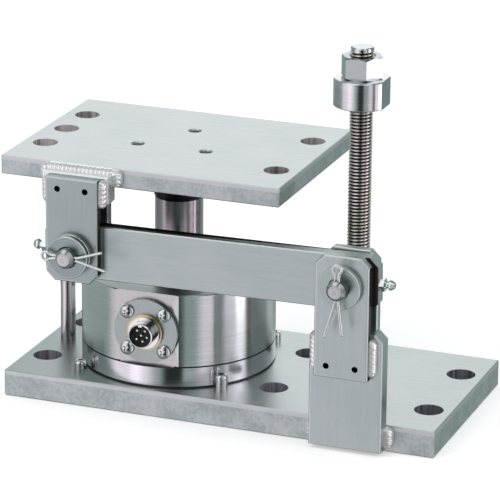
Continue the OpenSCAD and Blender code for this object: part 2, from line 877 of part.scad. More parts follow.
module rocker_column() {
    tall = column_head - column_foot;
    color(polished_steel)
        translate([0, 0, column_foot])
            intersection() {
                cylinder(d = column_d, h = tall);
                translate([0, 0, column_dome_r])
                    sphere(r = column_dome_r, $fn = 180);
                translate([0, 0, tall - column_dome_r])
                    sphere(r = column_dome_r, $fn = 180);
            }
}

module top_pad() {
    color(polished_steel)
        difference() {
            rotate_extrude()
                polygon([[0, pad_z], [pad_boss_d / 2, pad_z], [pad_boss_d / 2, top_under - pad_flange_t],
                    [pad_flange_d / 2, top_under - pad_flange_t], [pad_flange_d / 2, top_under],
                    [0, top_under]]);
            translate([0, 0, pad_z + hub_dish - seat_r])
                sphere(r = seat_r, $fn = 180);
            for (a = pad_angles)
                rotate([0, 0, a])
                    translate([pad_pcd / 2, 0, top_under - pad_flange_t]) {
                        hole_up(0, 0, 0, pad_screw_d + 2 * seat_gap, pad_flange_t);
                        translate([0, 0, -over])
                            cylinder(d = pad_head_d + 2 * seat_gap, h = pad_head_sink + over);
                    }
        }
}

module pad_screws() {
    color(bright_steel)
        for (a = pad_angles)
            rotate([0, 0, a])
                translate([pad_pcd / 2, 0, top_under - pad_flange_t])
                    difference() {
                        union() {
                            translate([0, 0, pad_head_gap])
                                cylinder(d = pad_head_d, h = pad_head_sink - pad_head_gap);
                            translate([0, 0, pad_head_gap])
                                cylinder(d = pad_screw_d, h = pad_flange_t + top_t - pad_screw_short - pad_head_gap);
                        }
                        translate([0, 0, -over])
                            cylinder(r = pad_key / sqrt(3), h = over + pad_head_sink / 2, $fn = 6);
                    }
}

module top_plate() {
    color(steel)
        difference() {
            translate([0, 0, top_under])
                lying_plate(left_end, top_end, plate_w, top_t);
            for (x = [-bolt_x, bolt_x], y = [-bolt_y, bolt_y])
                hole_up(x, y, top_under, top_bolt_d, top_t);
            hole_up(-bolt_x, 0, top_under, top_bolt_d, top_t);
            for (a = pad_angles)
                rotate([0, 0, a]) {
                    hole_up(pad_pcd / 2, 0, top_under, pad_screw_d + 2 * seat_gap, top_t);
                    translate([pad_pcd / 2, 0, module_h - 0.7])
                        cylinder(r1 = pad_screw_d / 2, r2 = pad_screw_d / 2 + 0.8, h = 0.8);
                }
        }
}

module top_spacer() {
    color(steel)
        translate([-top_pin_x, plate_front, spacer_top - spacer_h / 2])
            upright_plate(spacer_w, spacer_h, spacer_t, 0, spacer_cut);
}

module top_front_ear() {
    color(steel)
        translate([-top_pin_x, 0, 0])
            difference() {
                ear(top_pin_z - ear_nose, top_ear_top, 0, ear_cut, spacer_front);
                pin_hole(top_pin_z);
                setting_holes(top_ear_top - ear_hole_in);
            }
}

module top_rear_ear() {
    color(steel)
        translate([-top_pin_x, 0, 0])
            difference() {
                ear(top_pin_z - ear_nose, top_under, 0, ear_cut, plate_front + ear_t);
                pin_hole(top_pin_z);
            }
}

spacer_foot = spacer_top - spacer_h;
spacer_bead_h = top_t - edge_break - 0.5;

module top_weld_beads() {
    color(bright_steel)
        union() {
            translate([-top_pin_x - spacer_w / 2 + ear_bead_gap, plate_front, spacer_top])
                weld_bead(spacer_w - 2 * ear_bead_gap, spacer_t * 0.5, spacer_drop);
            for (s = [-1, 1]) {
                translate([-top_pin_x + s * spacer_w / 2, plate_front, top_under + 0.5])
                    weld_bead_up(spacer_bead_h, weld_leg * 1.3, s);
                translate([-top_pin_x + s * ear_w / 2, spacer_front, spacer_foot + edge_break])
                    weld_bead_up(top_ear_top - spacer_foot - 2 * edge_break, weld_leg, s);
            }
            translate([-top_pin_x - ear_w / 2 + ear_bead_gap, plate_front + ear_t, top_under])
                mirror([0, 1, 0])
                    mirror([0, 0, 1])
                        weld_bead(ear_w - 2 * ear_bead_gap, weld_leg, weld_leg);
        }
}

// A piece of the tie bar: local X runs along the bar from its middle, local Y from its back face
module on_bar() {
    translate([(base_pin_x - top_pin_x) / 2, bar_y, (base_pin_z + top_pin_z) / 2])
        rotate([0, -bar_tilt, 0])
            children();
}

nipple_shank_d = 4;
nipple_depth = 4;                          // depth of the nipples' shanks in the bar
nipple_bore_d = 1.4;

module tie_bar() {
    color(steel)
        on_bar()
            difference() {
                upright_plate(bar_pitch + 2 * bar_nose, bar_h, bar_t, bar_cut, bar_cut);
                for (s = [-1, 1]) {
                    along_y(s * bar_pitch / 2, over, 0)
                        cylinder(d = bush_d + 2 * seat_gap, h = bar_t + 2 * over);
                    translate([s * bar_pitch / 2, -bar_t / 2, 0])
                        rotate([0, s * 90, 0]) {
                            cylinder(d = grease_d, h = bar_nose + over);
                            translate([0, 0, bar_nose - nipple_depth - edge_break])
                                cylinder(d = nipple_shank_d + 2 * seat_gap, h = nipple_depth + edge_break + over);
                        }
                }
            }
}

module bar_bushes() {
    color([0.66, 0.50, 0.30])
        on_bar()
            for (s = [-1, 1])
                difference() {
                    along_y(s * bar_pitch / 2, 0, 0)
                        ring(bush_d / 2, pin_d / 2 + run_gap, bar_t);
                    translate([s * bar_pitch / 2, -bar_t / 2, 0])
                        rotate([0, s * 90, 0])
                            cylinder(d = grease_d, h = bush_d);
                }
}

module grease_nipples() {
    r_hex = nipple_af / sqrt(3);
    r_ball = nipple_head_d / 2;
    color(bright_steel)
        on_bar()
            for (s = [-1, 1])
                translate([s * (bar_pitch / 2 + bar_nose), -bar_t / 2, 0])
                    rotate([0, s * 90, 0])
                        difference() {
                            union() {
                                translate([0, 0, -nipple_depth])
                                    cylinder(d = nipple_shank_d, h = nipple_depth + over);
                                rotate([0, 0, 30])
                                    cylinder(r = r_hex, h = 2.6, $fn = 6);
                                rotate_extrude()
                                    polygon([[0, over], [r_ball * 0.9, over], [r_ball * 0.9, nipple_reach - 4.8],
                                        [r_ball * 0.66, nipple_reach - 4.3], [r_ball * 0.66, nipple_reach - 3.7],
                                        [r_ball, nipple_reach - 2.8], [r_ball, nipple_reach - 2],
                                        [r_ball * 0.62, nipple_reach - 0.2], [0, nipple_reach]]);
                            }
                            translate([0, 0, -nipple_depth - over])
                                cylinder(d = nipple_bore_d, h = nipple_depth + nipple_reach + 2 * over);
                        }
}

module clevis_pin(x, z, split_tilt) {
    pin_back = plate_front + ear_t;
    pin_len = pin_back - pin_end;
    color(bright_steel)
        difference() {
            along_y(x, pin_back, z)
                rotate_extrude()
                    polygon([[0, -pin_head_t], [pin_head_d / 2 - 0.6, -pin_head_t],
                        [pin_head_d / 2, -pin_head_t + 0.6], [pin_head_d / 2, 0], [pin_d / 2, 0],
                        [pin_d / 2, pin_len - pin_chamfer], [pin_d / 2 - pin_chamfer, pin_len],
                        [0, pin_len]]);
            translate([x, split_y, z])
                rotate([0, split_tilt, 0])
                    cylinder(d = split_hole_d, h = 2 * pin_d, center = true);
        }
}

// Two washers on a clevis pin, pitch apart from face to face. They hang on the pin by their bores.
module washers(x, z, pitch) {
    color(steel)
        for (i = [0, 1])
            along_y(x + washer_play * cos(washer_lean), washer_face - i * pitch, z + washer_play * sin(washer_lean))
                difference() {
                    rotate_extrude()
                        polygon([[0, 0], [washer_d / 2, 0], [washer_d / 2, washer_t - 0.35],
                            [washer_d / 2 - 0.35, washer_t], [0, washer_t]]);
                    hole_up(0, 0, 0, washer_bore_d, washer_t);
                }
}

// Straight wire from point a to point b, with a knuckle a little thicker than the wire at b
module wire(a, b) {
    d = b - a;
    len = norm(d);
    translate(a)
        rotate([0, acos(d[2] / len), atan2(d[1], d[0])])
            cylinder(r = wire_r, h = len);
    translate(b)
        sphere(r = wire_r * knuckle);
}

// Split pin through a clevis pin: the eye is at local +Z, the two bent legs run to local -Z
module split_pin(x, z, turn, leg_a, leg_b) {
    eye_r = split_eye_d / 2 - wire_r;
    hole_in = pin_d / 2 * 1.24;
    eye_z = hole_in + eye_r + split_d * 0.7;
    off = wire_r * knuckle;
    eye_foot = [eye_r * sin(35), 0, eye_z - eye_r * cos(35)];
    $fn = 24;
    color(bright_steel)
        translate([x, split_y, z])
            rotate([0, turn, 0]) {
                translate([0, 0, eye_z])
                    rotate([90, 0, 0])
                        rotate([0, 0, -55])
                            rotate_extrude(angle = 290)
                                translate([eye_r, 0])
                                    circle(r = wire_r);
                for (s = [-1, 1]) {
                    leg = s > 0 ? leg_a : leg_b;
                    start = [s * eye_foot[0], 0, eye_foot[2]];
                    neck = [s * off, 0, hole_in];
                    exit = [s * off, 0, -hole_in];
                    translate(start)
                        sphere(r = wire_r * knuckle);
                    wire(start, neck);
                    wire(neck, exit);
                    wire(exit, [leg[0], 0, -leg[1]]);
                }
            }
}

module base_clevis_pin() {
    clevis_pin(base_pin_x, base_pin_z, 0);
}

module base_washers() {
    washers(base_pin_x, base_pin_z, washer_pitch);
}

module base_split_pin() {
    split_pin(base_pin_x, base_pin_z, 0, [0.46 * split_spread, 0.92 * split_leg],
        [-split_spread, split_leg]);
}

module top_clevis_pin() {
    clevis_pin(-top_pin_x, top_pin_z, 90);
}

module top_washers() {
    washers(-top_pin_x, top_pin_z, washer_t + top_washer_gap);
}

module top_split_pin() {
    split_pin(-top_pin_x, top_pin_z, -90, [0.84 * split_spread, 0.78 * split_leg],
        [-0.69 * split_spread, 0.865 * split_leg]);
}

base_plate();
base_post();
base_front_ear();
base_rear_ear();
base_weld_beads();
support_rod();
locating_pins();
lift_stud();
stop_collar();
lock_nut();
cell_base_ring();
cell_seal_ring();
cell_housing();
cell_screws();
sensing_element();
strain_gauges();
circuit_board();
cover_membrane();
connector_gasket();
connector_flange();
flange_screws();
connector_shell();
connector_lock_ring();
connector_insert();
contact_pins();
rocker_column();
top_pad();
pad_screws();
top_plate();
top_spacer();
top_front_ear();
top_rear_ear();
top_weld_beads();
tie_bar();
bar_bushes();
grease_nipples();
base_clevis_pin();
base_washers();
base_split_pin();
top_clevis_pin();
top_washers();
top_split_pin();
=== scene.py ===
import math

import bmesh
import bpy
from mathutils import Matrix, Vector


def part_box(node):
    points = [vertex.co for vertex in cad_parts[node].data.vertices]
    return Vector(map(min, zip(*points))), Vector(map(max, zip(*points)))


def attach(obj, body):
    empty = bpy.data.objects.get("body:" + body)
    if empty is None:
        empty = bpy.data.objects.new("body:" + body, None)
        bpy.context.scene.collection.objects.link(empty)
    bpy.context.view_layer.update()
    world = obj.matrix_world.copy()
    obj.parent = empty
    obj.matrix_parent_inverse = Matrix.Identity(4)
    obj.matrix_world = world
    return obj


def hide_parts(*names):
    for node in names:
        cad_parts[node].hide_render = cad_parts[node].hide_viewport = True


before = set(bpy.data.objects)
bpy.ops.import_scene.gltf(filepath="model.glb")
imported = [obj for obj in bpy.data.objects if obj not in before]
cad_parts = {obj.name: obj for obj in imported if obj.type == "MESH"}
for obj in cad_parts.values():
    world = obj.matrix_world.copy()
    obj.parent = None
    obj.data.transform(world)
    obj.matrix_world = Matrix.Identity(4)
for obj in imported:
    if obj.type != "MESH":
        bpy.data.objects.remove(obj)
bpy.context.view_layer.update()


# Camera.
# A long lens looks at the module from 21 degrees to the right of its front and 19 degrees above it,
# in the photograph's square frame.
MM = 0.001
camera_turn = math.radians(20.611)
camera_rise = math.radians(18.677)
camera_roll = math.radians(0.543)
camera_distance = 1731.5 * MM
camera_target = Vector((39.2, 0, 76.5)) * MM
film_width = 36
focal_length = 242.8

back = Vector((math.sin(camera_turn) * math.cos(camera_rise),
               -math.cos(camera_turn) * math.cos(camera_rise),
               math.sin(camera_rise)))
level = Vector((math.cos(camera_turn), math.sin(camera_turn), 0))
upright = back.cross(level)
across = level * math.cos(camera_roll) + upright * math.sin(camera_roll)
over = upright * math.cos(camera_roll) - level * math.sin(camera_roll)

lens = bpy.data.cameras.new("camera")
lens.sensor_fit = "HORIZONTAL"
lens.sensor_width = film_width
lens.lens = focal_length
camera = bpy.data.objects.new("camera", lens)
axes = Matrix((across, over, back)).transposed()
camera.matrix_world = Matrix.Translation(camera_target + back * camera_distance) @ axes.to_4x4()
bpy.context.scene.collection.objects.link(camera)
bpy.context.scene.camera = camera
bpy.context.scene.view_settings.view_transform = "Standard"


# Studio.
# A white room for the lens. Bare steel shows what stands round it, so the room has tall pale cards
# and dark gaps at named bearings in degrees, counted from the front towards the right.
class Flow:
    """A socket of a node tree. Plus, minus and times add Math nodes behind it."""

    def __init__(self, tree, socket=None):
        self.tree = tree
        self.socket = socket

    def node(self, kind, settings, inputs, output=0):
        """A node of any kind, with its settings and the values or links of its sockets."""
        made = self.tree.nodes.new(kind)
        for name, value in settings.items():
            setattr(made, name, value)
        for name, value in inputs.items():
            if isinstance(value, Flow):
                self.tree.links.new(value.socket, made.inputs[name])
            elif made.inputs[name].type == "RGBA" and len(value) == 3:
                made.inputs[name].default_value = (*value, 1)
            else:
                made.inputs[name].default_value = value
        return Flow(self.tree, made.outputs[output]) if len(made.outputs) else None

    def maths(self, operation, first, second=0.0):
        return self.node("ShaderNodeMath", {"operation": operation}, {0: first, 1: second})

    def __add__(self, other):
        return self.maths("ADD", self, other)

    __radd__ = __add__

    def __sub__(self, other):
        return self.maths("SUBTRACT", self, other)

    def __rsub__(self, other):
        return self.maths("SUBTRACT", other, self)

    def __mul__(self, other):
        return self.maths("MULTIPLY", self, other)

    __rmul__ = __mul__

    def __abs__(self):
        return self.maths("ABSOLUTE", self)

    def root(self):
        return self.maths("SQRT", self)

    def larger(self, other):
        return self.maths("MAXIMUM", self, other)

    def smaller(self, other):
        return self.maths("MINIMUM", self, other)

    def between(self, low, high):
        """0 below low, 1 above high, and a soft step from one to the other."""
        inputs = {"Value": self, "From Min": low, "From Max": high}
        return self.node("ShaderNodeMapRange", {"interpolation_type": "SMOOTHSTEP"}, inputs)

    def mixed(self, first, second):
        """The colour first where this is 0, and second where it is 1."""
        return self.node("ShaderNodeMix", {"data_type": "RGBA"}, {0: self, 6: first, 7: second}, 2)

    def part(self, axis):
        return self.node("ShaderNodeSeparateXYZ", {}, {0: self}, axis)

    def stretched(self, scale):
        return self.node("ShaderNodeVectorMath", {"operation": "MULTIPLY"}, {0: self, 1: scale})

    def noise(self, scale, detail=2.0, roughness=0.5):
        inputs = {"Vector": self, "Scale": scale, "Detail": detail, "Roughness": roughness}
        return self.node("ShaderNodeTexNoise", {}, inputs)


def tinted(brightness, tint):
    return tuple(brightness * channel for channel in tint)


cool = (0.84, 1.00, 0.99)
warm = (1.00, 0.95, 1.01)
room_shade = tinted(0.42, cool)
# Left and right bearing, softness of each side, brightness, tint
room_cards = [
    (-64, -12, 16, 18, 1.00, warm),
    (-38, -24, 6, 8, 1.30, warm),
    (2, 27, 12, 6, 0.02, cool),
    (46, 63.5, 14, 1.5, 0.92, warm),
    (63.5, 73.5, 1.5, 3, 0.05, cool),
    (73.5, 92, 3, 3, 1.10, warm),
    (92, 106, 6, 1.5, 2.80, warm),
    (106, 115, 1.5, 4, 0.14, cool),
    (116, 150, 4, 8, 0.30, cool),
    (150, 172, 8, 8, 0.55, cool),
]
# The rear wall reaches through the bearing of 180 and is pale above the horizon
rear_left, rear_right = (168, 176), (-149, -141)
rear_below, rear_above = (0.342, 0.360, 0.360), (1.2152, 1.240, 1.2648)
# The ceiling is dark over the lens and in the rear half, and grey at the zenith
lens_left, lens_right = (-4, 6), (30, 38)
ceiling = (1.274, 1.300, 1.313)
ceiling_gap = tinted(0.08, cool)
zenith = tinted(0.60, cool)
ground = tinted(0.27, cool)
# Soft edges on a unit sphere round the module: heights, the ground's depth and the rear half's north
horizon_edge = (-0.05, 0.10)
ceiling_edge = (0.62, 0.84)
zenith_edge = (0.93, 0.985)
ground_edge = (0.55, 0.90)
rear_edge = (-0.15, 0.10)
soft_light = (0.75, 0.76, 0.77)
white = (1, 1, 1)
black = (0, 0, 0)

room = bpy.data.worlds.new("studio")
room.use_nodes = True
room.node_tree.nodes.clear()
bpy.context.scene.world = room
studio = Flow(room.node_tree)
towards = studio.node("ShaderNodeTexCoord", {}, {}, "Generated")
east, north, height = (towards.part(axis) for axis in range(3))
bearing = east.maths("ARCTAN2", east, 0.0 - north) * math.degrees(1)

seen = room_shade
for left, right, left_soft, right_soft, brightness, tint in room_cards:
    inside = bearing.between(left - left_soft / 2, left + left_soft / 2)
    inside = inside * (1 - bearing.between(right - right_soft / 2, right + right_soft / 2))
    seen = inside.mixed(seen, tinted(brightness, tint))
rear = bearing.between(*rear_left) + 1 - bearing.between(*rear_right)
seen = rear.mixed(seen, height.between(*horizon_edge).mixed(rear_below, rear_above))
lens_gap = bearing.between(*lens_left) * (1 - bearing.between(*lens_right))
above = lens_gap.mixed(ceiling, ceiling_gap)
above = north.between(*rear_edge).mixed(above, ceiling_gap)
seen = height.between(*ceiling_edge).mixed(seen, above)
seen = height.between(*zenith_edge).mixed(seen, zenith)
seen = (0.0 - height).between(*ground_edge).mixed(seen, ground)

rays = {name: studio.node("ShaderNodeLightPath", {}, {}, name)
        for name in ("Is Camera Ray", "Is Glossy Ray", "Is Transmission Ray")}
in_metal = rays["Is Glossy Ray"].larger(rays["Is Transmission Ray"])
seen = in_metal.mixed(soft_light, seen)
seen = rays["Is Camera Ray"].mixed(seen, white)
shine = studio.node("ShaderNodeBackground", {}, {"Color": seen, "Strength": 1.0})
studio.node("ShaderNodeOutputWorld", {}, {"Surface": shine})

# Name, place in metres, side length in metres and power in watts
soft_boxes = [
    ("key_box", Vector((-0.75, -0.95, 1.15)), 0.7, 7.0),
    ("side_box", Vector((1.2, -0.2, 0.9)), 0.6, 3.0),
]
for name, place, size, power in soft_boxes:
    lamp = bpy.data.lights.new(name, "AREA")
    lamp.size = size
    lamp.energy = power
    box = bpy.data.objects.new(name, lamp)
    box.location = place
    box.rotation_euler = (camera_target - place).to_track_quat("-Z", "Y").to_euler()
    box.visible_glossy = False
    bpy.context.scene.collection.objects.link(box)


# Floor.
# A plain pale sweep that the module stands on. It is white to the lens, keeps the soft shadow and
# lies a hair under the base plate.
floor_half = 6.0
floor_gap = 0.2 * MM
floor_grey = (0.82, 0.82, 0.82)
floor_glow = 0.36

bm = bmesh.new()
bmesh.ops.create_grid(bm, x_segments=1, y_segments=1, size=floor_half)
floor_mesh = bpy.data.meshes.new("floor")
bm.to_mesh(floor_mesh)
bm.free()
floor = bpy.data.objects.new("floor", floor_mesh)
floor.location.z = -floor_gap
floor.visible_glossy = False
bpy.context.scene.collection.objects.link(floor)
paint = bpy.data.materials.new("floor_paint")
paint.use_nodes = True
paint.node_tree.nodes.clear()
coat = Flow(paint.node_tree)
to_lens = coat.node("ShaderNodeLightPath", {}, {}, "Is Camera Ray")
matt = coat.node("ShaderNodeBsdfPrincipled", {}, {
    "Base Color": floor_grey, "Roughness": 0.9, "Specular IOR Level": 0.0,
    "Emission Color": to_lens.mixed(black, white), "Emission Strength": floor_glow})
coat.node("ShaderNodeOutputMaterial", {}, {"Surface": matt})
floor_mesh.materials.append(paint)


# Base plate.
# Hot rolled stainless plate, sawn to size, drilled for the ground bolts and brushed to a soft grey.
# Everything else stands on it.
def finish(name, build, **plain):
    """A material: build gives its varied sockets from the mesh's own coordinates, plain the others."""
    made = bpy.data.materials.new(name)
    made.use_nodes = True
    made.node_tree.nodes.clear()
    flow = Flow(made.node_tree)
    coordinates = flow.node("ShaderNodeTexCoord", {}, {}, "Object")
    surface = flow.node("ShaderNodeBsdfPrincipled", {}, {**build(coordinates), **plain})
    flow.node("ShaderNodeOutputMaterial", {}, {"Surface": surface})
    return made


def bumped(height, depth):
    return height.node("ShaderNodeBump", {}, {"Height": height, "Distance": depth})


def brushed(at, grain, cloud):
    """Brushed lines, clouds and the shade of both. Grain is lines a metre along X, Y and Z."""
    lines = at.stretched(grain).noise(1.0, 4.0, 0.65)
    clouds = at.noise(cloud, 3.0)
    return lines, clouds, (lines * 0.55 + clouds * 0.45).between(0.30, 0.70)


def brushed_roughness(lines, clouds, middle):
    return clouds * 0.10 + lines * 0.16 + (middle - 0.13)


cloud_scale = 28
pit_scale = 2600


def pitted(at, lines, depth):
    """The relief of brushed lines and fine pits."""
    return bumped(lines * 0.7 + at.noise(pit_scale, 1.0) * 0.3, depth)


def worked_steel(name, dark, light, grain, roughness, depth, metallic=1.0):
    """Bare steel between two colours, with a grain and fine pits."""

    def build(at):
        lines, clouds, shade = brushed(at, grain, cloud_scale)
        return {
            "Base Color": shade.mixed(dark, light),
            "Metallic": metallic,
            "Roughness": brushed_roughness(lines, clouds, roughness),
            "Normal": pitted(at, lines, depth),
        }

    return finish(name, build)


def dress(node, *finishes):
    """Gives a CAD node its materials: the first is on all its faces."""
    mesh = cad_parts[node].data
    mesh.materials.clear()
    for material in finishes:
        mesh.materials.append(material)
    for face in mesh.polygons:
        face.material_index = 0
    return mesh


broken_edge, edge_fade = 2.2 * MM, 0.4 * MM
sawn_dark, sawn_light = (0.36, 0.415, 0.41), (0.54, 0.58, 0.58)
# The lighter band along the broken upper edge: partly wear, partly a painted highlight
edge_wear_and_highlight = (0.64, 0.65, 0.66)


def sawn_steel(node):
    """The mottled edges of a plate, with a lighter band where the upper edge is broken: partly wear, partly
    a painted highlight.
    """
    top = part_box(node)[1].z

    def build(at):
        grains = at.noise(420, 5.0, 0.7)
        clouds = at.noise(70, 3.0)
        shade = (grains * 0.6 + clouds * 0.4).between(0.38, 0.62)
        edge = at.part(2).between(top - broken_edge - edge_fade, top - broken_edge)
        return {
            "Base Color": (edge * 0.75).mixed(shade.mixed(sawn_dark, sawn_light), edge_wear_and_highlight),
            "Metallic": 1.0,
            "Roughness": grains * 0.20 + 0.28,
            "Normal": bumped(grains, 0.05 * MM),
        }

    return finish(f"{node}_sawn_steel", build)


# Places of the bolt holes in mm, and how far from them a wall still belongs to a bore
bolt_x, end_bolt_x, bolt_y = 63, 146, 27
bore_reach = 9 * MM
bore_metallic = 0.45


def dress_plate(node, plate_steel, bolts, bore_shade_dark, bore_shade_light):
    """Brushed faces above and below, sawn edges all round, and bores at the bolts' places in mm, darkened
    with painted shade.
    """
    bore_steel = worked_steel(f"{node}_bore_steel", bore_shade_dark, bore_shade_light, (500, 500, 20), 0.34,
                              0.03 * MM, bore_metallic)
    for face in dress(node, plate_steel, bore_steel, sawn_steel(node)).polygons:
        x, y, _ = face.center
        from_bolt = min(math.hypot(x - bolt[0] * MM, y - bolt[1] * MM) for bolt in bolts)
        if abs(face.normal.z) < 0.5 and from_bolt < bore_reach:
            face.material_index = 1
        elif abs(face.normal.z) < 0.1:
            face.material_index = 2


ground_dark, ground_light = (0.45, 0.495, 0.49), (0.57, 0.605, 0.605)
# The second pair of colours is painted shade. It deepens from the first x to the second
shaded_ground_dark, shaded_ground_light = (0.25, 0.295, 0.29), (0.33, 0.375, 0.37)
shade_start_x, shade_full_x = 30 * MM, -90 * MM


def ground_plate_colours(at):
    """Brushed steel, darkened towards the left with painted shade."""
    lines, clouds, shade = brushed(at, (60, 700, 700), cloud_scale)
    left_shade = at.part(0).between(shade_start_x, shade_full_x)
    return {
        "Base Color": left_shade.mixed(shade.mixed(ground_dark, ground_light), shade.mixed(shaded_ground_dark, shaded_ground_light)),
        "Metallic": 1.0,
        "Roughness": brushed_roughness(lines, clouds, 0.36),
        "Normal": pitted(at, lines, 0.03 * MM),
    }


base_bolts = [(x, y) for x in (-bolt_x, bolt_x, end_bolt_x) for y in (-bolt_y, bolt_y)]
# The base plate's bores are painted almost black with shade
dress_plate("base_plate", finish("ground_plate_steel", ground_plate_colours), base_bolts,
            (0.03, 0.03, 0.05), (0.50, 0.50, 0.54))


# Post and its two ears.
# Flat bar welded upright to the base plate's front edge. The ears take the clevis pin of the tie
# bar's right end. They are sawn, linished along their length and have broken edges.
flat_dark, flat_light = (0.43, 0.49, 0.485), (0.53, 0.58, 0.57)
# Colour of the broken edges: partly wear, partly a painted highlight
wear_and_highlight = (0.80, 0.82, 0.82)
# Near black, painted on the tie bar's wide faces as shade between the right ears
bar_shade_black = (0.035, 0.028, 0.028)
upright_grain = (420, 420, 40)
flat_cloud_scale = 30
cut_fade, bar_shade_fade = 0.1 * MM, 0.5 * MM
edge_slope = 0.08


def flat_bar_steel(node, grain, dark=flat_dark, light=flat_light, roughness=0.36, top_cut=0.0, low_cut=0.0,
                   slope=0.0, wear_and_highlight_width=1.0 * MM, bright=0.30, shaded_past_x=1.0):
    """Linished flat bar, standing in the XZ plane, whose broken edges show wear and a painted highlight.

    Its corners are cut by top_cut and low_cut in mm. Past the x given by its last argument its wide
    faces are painted near black as shade."""
    corner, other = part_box(node)
    half = (other - corner) / 2
    centre = (other + corner) / 2

    def build(at):
        x = at.part(0) - centre.x
        z = at.part(2) - centre.z - x * slope
        wide_face = abs(at.node("ShaderNodeTexCoord", {}, {}, "Normal").part(1)).between(0.5, 0.7)
        to_side = half.x - abs(x)
        to_end = half.z - abs(z)
        to_corner = to_side + to_end
        to_top_cut = (to_corner - top_cut * MM) * math.sqrt(0.5) + (0.0 - z).between(0.0, cut_fade)
        to_low_cut = (to_corner - low_cut * MM) * math.sqrt(0.5) + z.between(0.0, cut_fade)
        inside = to_side.smaller(to_end).smaller(to_top_cut).smaller(to_low_cut)
        lines, clouds, shade = brushed(at, grain, flat_cloud_scale)
        edge = wide_face * (1 - inside.between(wear_and_highlight_width * 0.6, wear_and_highlight_width * 0.9 + lines * 0.3 * MM))
        rounding = wide_face * inside.smaller(wear_and_highlight_width)
        bar_shade = wide_face * at.part(0).between(shaded_past_x, shaded_past_x + bar_shade_fade)
        # The edges are brightened: partly wear, partly a painted highlight
        steel = (edge * bright).mixed(shade.mixed(dark, light), wear_and_highlight)
        relief = rounding * (edge_slope / MM) + lines * 0.02 + at.noise(pit_scale, 1.0) * 0.01
        return {
            "Base Color": bar_shade.mixed(steel, bar_shade_black),
            "Metallic": 1.0,
            "Roughness": brushed_roughness(lines, clouds, roughness) - edge * 0.06,
            "Normal": bumped(relief, 1.0 * MM),
        }

    return finish(f"{node}_steel", build)


# Painted shade, dark brown, laid on the right-hand sides of the front ears
shaded_side_steel = worked_steel("shaded_side_steel", (0.035, 0.03, 0.03), (0.13, 0.115, 0.11),
                         (300, 300, 60), 0.45, 0.03 * MM)
hole_shadow = worked_steel("hole_shadow", (0.004, 0.004, 0.004), (0.012, 0.012, 0.012),
                           (300, 300, 300), 0.7, 0.01 * MM)
# What lies nearer to a flat's outline than these belongs to its edges, corners and wide faces
edge_zone = 1.5 * MM
corner_zone = 7 * MM
face_zone = 0.5 * MM


def dress_flat(node, steel, shaded_sides=False):
    """Linished faces, painted black as shadow in the small holes, and painted shade on the right-hand sides
    where asked for.

    Depths are measured from the node's level box. The tie bar slopes in its box, so half of its upper
    and half of its lower face come out black as well."""
    mesh = dress(node, steel, hole_shadow, shaded_side_steel)
    corner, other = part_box(node)
    for face in mesh.polygons:
        x, y, z = face.center
        to_side = min(x - corner.x, other.x - x)
        to_end = min(z - corner.z, other.z - z)
        off_outline = min(to_side, to_end) > edge_zone and to_side + to_end > corner_zone
        in_hole = abs(face.normal.y) < 0.5 and off_outline
        hole_end = abs(face.normal.y) > 0.9 and corner.y + face_zone < y < other.y - face_zone
        if in_hole or hole_end:
            face.material_index = 1
        elif shaded_sides and abs(face.normal.x) > 0.9:
            face.material_index = 2


post_cut, ear_cut = 4.0, 4.5
for node, cut in (("base_post", post_cut), ("base_front_ear", ear_cut), ("base_rear_ear", ear_cut)):
    dress_flat(node, flat_bar_steel(node, upright_grain, top_cut=cut), node == "base_front_ear")


# Weld beads.
# Hand-laid filler of the same steel, in overlapping scales like a row of coins. Each bead fills the
# corner between two plates and stays bright.
merge_gap = 0.002 * MM


def solid(name, bm, body, material, smooth):
    """The finished mesh as a piece that rides on a body, smooth over edges up to so many degrees."""
    bmesh.ops.remove_doubles(bm, verts=bm.verts, dist=merge_gap)
    bmesh.ops.dissolve_degenerate(bm, edges=bm.edges, dist=merge_gap)
    bmesh.ops.recalc_face_normals(bm, faces=bm.faces)
    for edge in bm.edges:
        edge.smooth = len(edge.link_faces) == 2 and edge.calc_face_angle(0) < math.radians(smooth)
    for face in bm.faces:
        face.smooth = True
    mesh = bpy.data.meshes.new(name)
    bm.to_mesh(mesh)
    bm.free()
    mesh.materials.append(material)
    piece = bpy.data.objects.new(name, mesh)
    bpy.context.scene.collection.objects.link(piece)
    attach(piece, body)
    return piece


scale_pitch = 2.3
scale_steps = 9
leg_steps = 10
# A scale's front edge bows forward by a share of its pitch. The valley before the next scale is a
# share of the bead's height deep, and starts at 1 / crest_rate of the pitch
scale_bow = 0.55
valley = 0.13
crest_rate = 1.15
# Powers of a sine. The lower they are, the flatter a scale's crest, the nearer to the toes its valley
# reaches, and the fuller the bead
crest_power, toe_power, bead_power = 0.6, 0.5, 0.85
# The height of a bead's very end, as a share of its full height
blunt_end = 0.12


